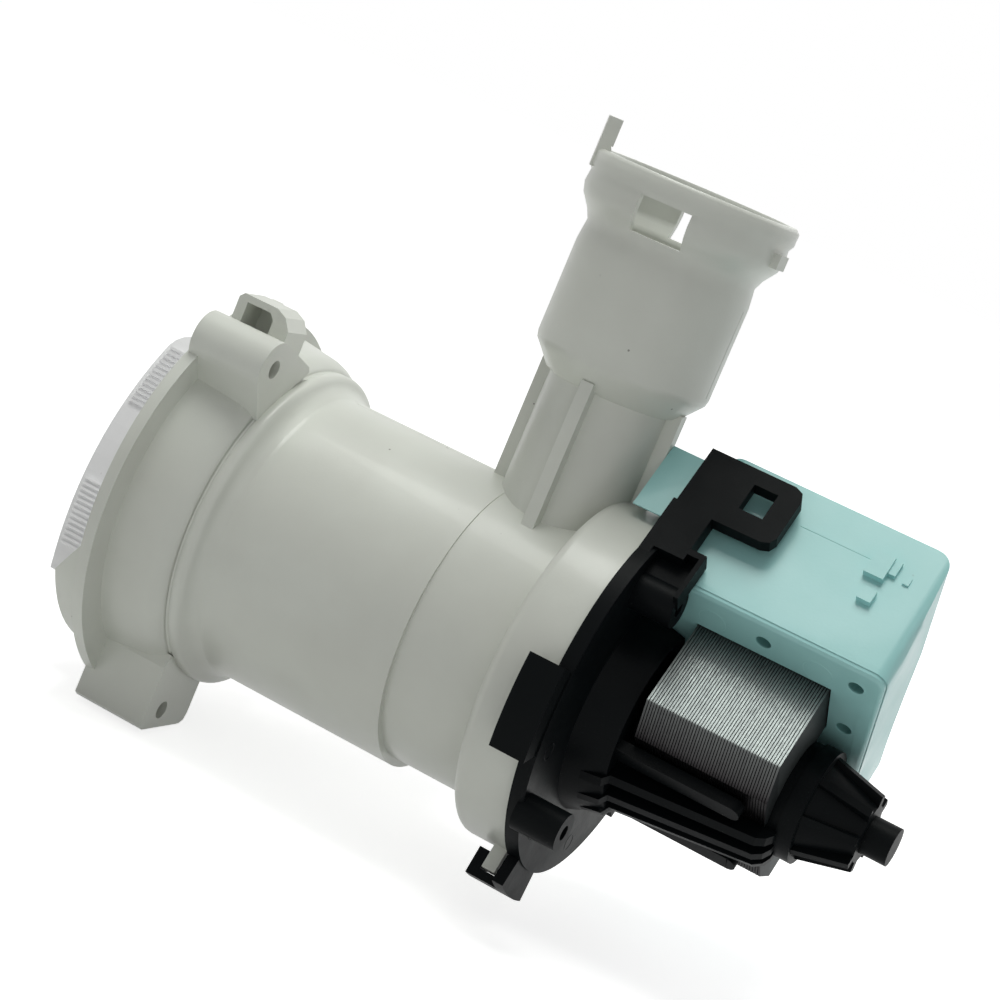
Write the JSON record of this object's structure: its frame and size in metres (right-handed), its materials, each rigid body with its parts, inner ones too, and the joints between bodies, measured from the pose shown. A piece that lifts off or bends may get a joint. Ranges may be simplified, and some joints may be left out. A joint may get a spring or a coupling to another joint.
{
  "type": "washer drain pump",
  "caption": "Washer drain pump with a screw-out lint filter, side inlet, belled outlet stub and a twist-locked synchronous motor.",
  "frame": {"origin": "centre of the front flange's front face, on the main axis", "axes": "+Y along the main axis from the filter towards the motor, +Z along the outlet stub, +X to the side away from the inlet"},
  "size_m": [0.101, 0.188, 0.1556],
  "materials": {
    "housing_plastic": "satin",
    "white_plastic": "satin",
    "rubber": "matte",
    "impeller_plastic": "satin",
    "dog_plastic": "matte",
    "shaft_steel": "polished",
    "magnet": "matte",
    "bearing": "matte",
    "black_plastic": "satin",
    "washer_plastic": "matte",
    "core_steel": "laminated",
    "bobbin_plastic": "matte",
    "copper_wire": "enamelled",
    "cover_plastic": "satin",
    "terminal_metal": "tinned"
  },
  "bodies": {
    "pump": {"pump_housing": "housing_plastic", "motor_carrier": "black_plastic", "carrier_seal": "rubber", "bearing_plate": "black_plastic", "front_bearing": "bearing", "front_bearing_mount": "rubber", "rear_bearing": "bearing", "rear_bearing_mount": "rubber", "thrust_washer": "washer_plastic", "stator_core": "core_steel", "bobbin_left": "bobbin_plastic", "bobbin_right": "bobbin_plastic", "winding_left": "copper_wire", "winding_right": "copper_wire", "coil_cover": "cover_plastic", "cover_base": "cover_plastic", "terminal_blades": "terminal_metal"},
    "rotor": {"rotor_shaft": "shaft_steel", "rotor_magnet": "magnet", "rotor_sleeve": "dog_plastic", "drive_dog": "dog_plastic"},
    "impeller": {"impeller": "impeller_plastic", "coupling_cover": "impeller_plastic"},
    "seal": {"filter_seal": "rubber"},
    "filter": {"filter_cap": "white_plastic", "filter_cage": "white_plastic"}
  },
  "joints": [
    {"name": "rotor_spin", "type": "hinge", "parent": "pump", "child": "rotor", "pos_m": [0, 0.125, 0], "axis": [0, 1, 0], "continuous": true},
    {"name": "impeller_play", "type": "hinge", "parent": "rotor", "child": "impeller", "pos_m": [0, 0.085, 0], "axis": [0, 1, 0], "range_deg": [-135, 135]},
    {"name": "filter_draw", "type": "slide", "parent": "pump", "child": "seal", "axis": [0, -1, 0], "range_m": [0, 0.0075]},
    {"name": "filter_turn", "type": "hinge", "parent": "seal", "child": "filter", "pos_m": [0, 0, 0], "axis": [0, -1, 0], "range_deg": [0, 540]}
  ],
  "couplings": [
    {"joint": "filter_draw", "follows": "filter_turn", "m_per_rad": 0.00079577}
  ]
}
